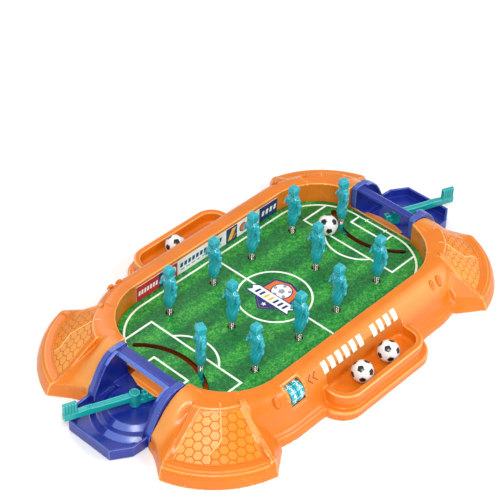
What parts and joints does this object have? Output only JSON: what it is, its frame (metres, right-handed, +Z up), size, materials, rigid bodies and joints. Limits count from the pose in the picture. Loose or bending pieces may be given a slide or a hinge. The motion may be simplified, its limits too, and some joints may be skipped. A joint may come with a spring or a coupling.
{
  "type": "foosball table",
  "caption": "Tabletop spring football game: moulded frame with fanned corners and ball trays, printed pitch board, spring-mounted players, lever-swung goalkeepers, goals and score wheels.",
  "frame": {"origin": "centre of the footprint, on the surface that the table stands on", "axes": "+X along the pitch from the left goal to the right goal, +Y across the pitch to the side away from the score wheels, +Z up"},
  "size_m": [0.5158, 0.307, 0.088],
  "materials": {
    "frame_orange": "glossy injection-moulded",
    "underside": "matt",
    "pitch_print": "printed satin film on hardboard",
    "advert_card": "printed, satin",
    "goal_blue": "translucent gloss",
    "lever_teal": "gloss",
    "figure_teal": "translucent gloss",
    "spring_steel": "drawn wire",
    "steel": "zinc plated",
    "score_wheel": "gloss with moulded digits",
    "ball_white": "satin with printed panels"
  },
  "bodies": {
    "table": {"frame_shell": "frame_orange", "base_plate": "underside", "base_screw_1": "steel", "base_screw_2": "steel", "base_screw_3": "steel", "base_screw_4": "steel", "base_screw_5": "steel", "base_screw_6": "steel", "pitch_board": "pitch_print", "advert_strip_rear": "advert_card", "advert_strip_front": "advert_card", "goal_right": "goal_blue", "goal_left": "goal_blue", "score_axle": "steel", "score_bracket": "underside", "player_spring_1": "spring_steel", "player_spring_2": "spring_steel", "player_spring_3": "spring_steel", "player_spring_4": "spring_steel", "player_spring_5": "spring_steel", "player_spring_6": "spring_steel", "player_spring_7": "spring_steel", "player_spring_8": "spring_steel", "player_spring_9": "spring_steel", "player_spring_10": "spring_steel"},
    "player_1": {"player_1": "figure_teal"},
    "player_2": {"player_2": "figure_teal"},
    "player_3": {"player_3": "figure_teal"},
    "player_4": {"player_4": "figure_teal"},
    "player_5": {"player_5": "figure_teal"},
    "player_6": {"player_6": "figure_teal"},
    "player_7": {"player_7": "figure_teal"},
    "player_8": {"player_8": "figure_teal"},
    "player_9": {"player_9": "figure_teal"},
    "player_10": {"player_10": "figure_teal"},
    "lever_right": {"lever_right": "lever_teal", "keeper_spring_right": "spring_steel"},
    "keeper_right": {"keeper_right": "figure_teal"},
    "lever_left": {"lever_left": "lever_teal", "keeper_spring_left": "spring_steel"},
    "keeper_left": {"keeper_left": "figure_teal"},
    "score_wheel_left": {"score_wheel_left": "score_wheel"},
    "score_wheel_right": {"score_wheel_right": "score_wheel"},
    "ball_1": {"ball_1": "ball_white"},
    "ball_2": {"ball_2": "ball_white"},
    "ball_3": {"ball_3": "ball_white"},
    "ball_4": {"ball_4": "ball_white"}
  },
  "joints": [
    {"name": "player_1_flick", "type": "hinge", "parent": "table", "child": "player_1", "pos_m": [-0.09, 0.0573, 0.0235], "axis": [0, 1, 0], "range_deg": [-24, 24], "stiffness_Nm_per_rad": 0.05, "deforming": ["player_spring_1"]},
    {"name": "player_2_flick", "type": "hinge", "parent": "table", "child": "player_2", "pos_m": [-0.028, 0.0573, 0.0235], "axis": [0, 1, 0], "range_deg": [-24, 24], "stiffness_Nm_per_rad": 0.05, "deforming": ["player_spring_2"]},
    {"name": "player_3_flick", "type": "hinge", "parent": "table", "child": "player_3", "pos_m": [0.028, 0.0573, 0.0235], "axis": [0, 1, 0], "range_deg": [-24, 24], "stiffness_Nm_per_rad": 0.05, "deforming": ["player_spring_3"]},
    {"name": "player_4_flick", "type": "hinge", "parent": "table", "child": "player_4", "pos_m": [0.09, 0.0573, 0.0235], "axis": [0, 1, 0], "range_deg": [-24, 24], "stiffness_Nm_per_rad": 0.05, "deforming": ["player_spring_4"]},
    {"name": "player_5_flick", "type": "hinge", "parent": "table", "child": "player_5", "pos_m": [-0.09, -0.0573, 0.0235], "axis": [0, 1, 0], "range_deg": [-24, 24], "stiffness_Nm_per_rad": 0.05, "deforming": ["player_spring_5"]},
    {"name": "player_6_flick", "type": "hinge", "parent": "table", "child": "player_6", "pos_m": [-0.028, -0.0573, 0.0235], "axis": [0, 1, 0], "range_deg": [-24, 24], "stiffness_Nm_per_rad": 0.05, "deforming": ["player_spring_6"]},
    {"name": "player_7_flick", "type": "hinge", "parent": "table", "child": "player_7", "pos_m": [0.028, -0.0573, 0.0235], "axis": [0, 1, 0], "range_deg": [-24, 24], "stiffness_Nm_per_rad": 0.05, "deforming": ["player_spring_7"]},
    {"name": "player_8_flick", "type": "hinge", "parent": "table", "child": "player_8", "pos_m": [0.09, -0.0573, 0.0235], "axis": [0, 1, 0], "range_deg": [-24, 24], "stiffness_Nm_per_rad": 0.05, "deforming": ["player_spring_8"]},
    {"name": "player_9_flick", "type": "hinge", "parent": "table", "child": "player_9", "pos_m": [-0.062, 0, 0.0235], "axis": [0, 1, 0], "range_deg": [-24, 24], "stiffness_Nm_per_rad": 0.05, "deforming": ["player_spring_9"]},
    {"name": "player_10_flick", "type": "hinge", "parent": "table", "child": "player_10", "pos_m": [0.062, 0, 0.0235], "axis": [0, 1, 0], "range_deg": [-24, 24], "stiffness_Nm_per_rad": 0.05, "deforming": ["player_spring_10"]},
    {"name": "lever_right_swing", "type": "hinge", "parent": "table", "child": "lever_right", "pos_m": [0.1919, 0, 0.0185], "axis": [0, 0, 1], "range_deg": [-21, 65]},
    {"name": "keeper_right_flick", "type": "hinge", "parent": "lever_right", "child": "keeper_right", "pos_m": [0.13034, 0.02487, 0.0345], "axis": [-0.3746, -0.9272, 0], "range_deg": [-24, 24], "stiffness_Nm_per_rad": 0.05, "deforming": ["keeper_spring_right"]},
    {"name": "lever_left_swing", "type": "hinge", "parent": "table", "child": "lever_left", "pos_m": [-0.1919, 0, 0.0185], "axis": [0, 0, 1], "range_deg": [-21, 65]},
    {"name": "keeper_left_flick", "type": "hinge", "parent": "lever_left", "child": "keeper_left", "pos_m": [-0.13034, -0.02487, 0.0345], "axis": [0.3746, 0.9272, 0], "range_deg": [-24, 24], "stiffness_Nm_per_rad": 0.05, "deforming": ["keeper_spring_left"]},
    {"name": "score_wheel_left_turn", "type": "hinge", "parent": "table", "child": "score_wheel_left", "pos_m": [-0.0998, -0.1063, 0.0326], "axis": [1, 0, 0], "continuous": true},
    {"name": "score_wheel_right_turn", "type": "hinge", "parent": "table", "child": "score_wheel_right", "pos_m": [-0.0908, -0.1063, 0.0326], "axis": [1, 0, 0], "continuous": true},
    {"name": "ball_1_lift", "type": "slide", "parent": "table", "child": "ball_1", "axis": [0, 0, 1], "range_m": [0, 0.06]},
    {"name": "ball_2_lift", "type": "slide", "parent": "table", "child": "ball_2", "axis": [0, 0, 1], "range_m": [0, 0.06]},
    {"name": "ball_3_lift", "type": "slide", "parent": "table", "child": "ball_3", "axis": [0, 0, 1], "range_m": [0, 0.06]},
    {"name": "ball_4_lift", "type": "slide", "parent": "table", "child": "ball_4", "axis": [0, 0, 1], "range_m": [0, 0.06]}
  ]
}
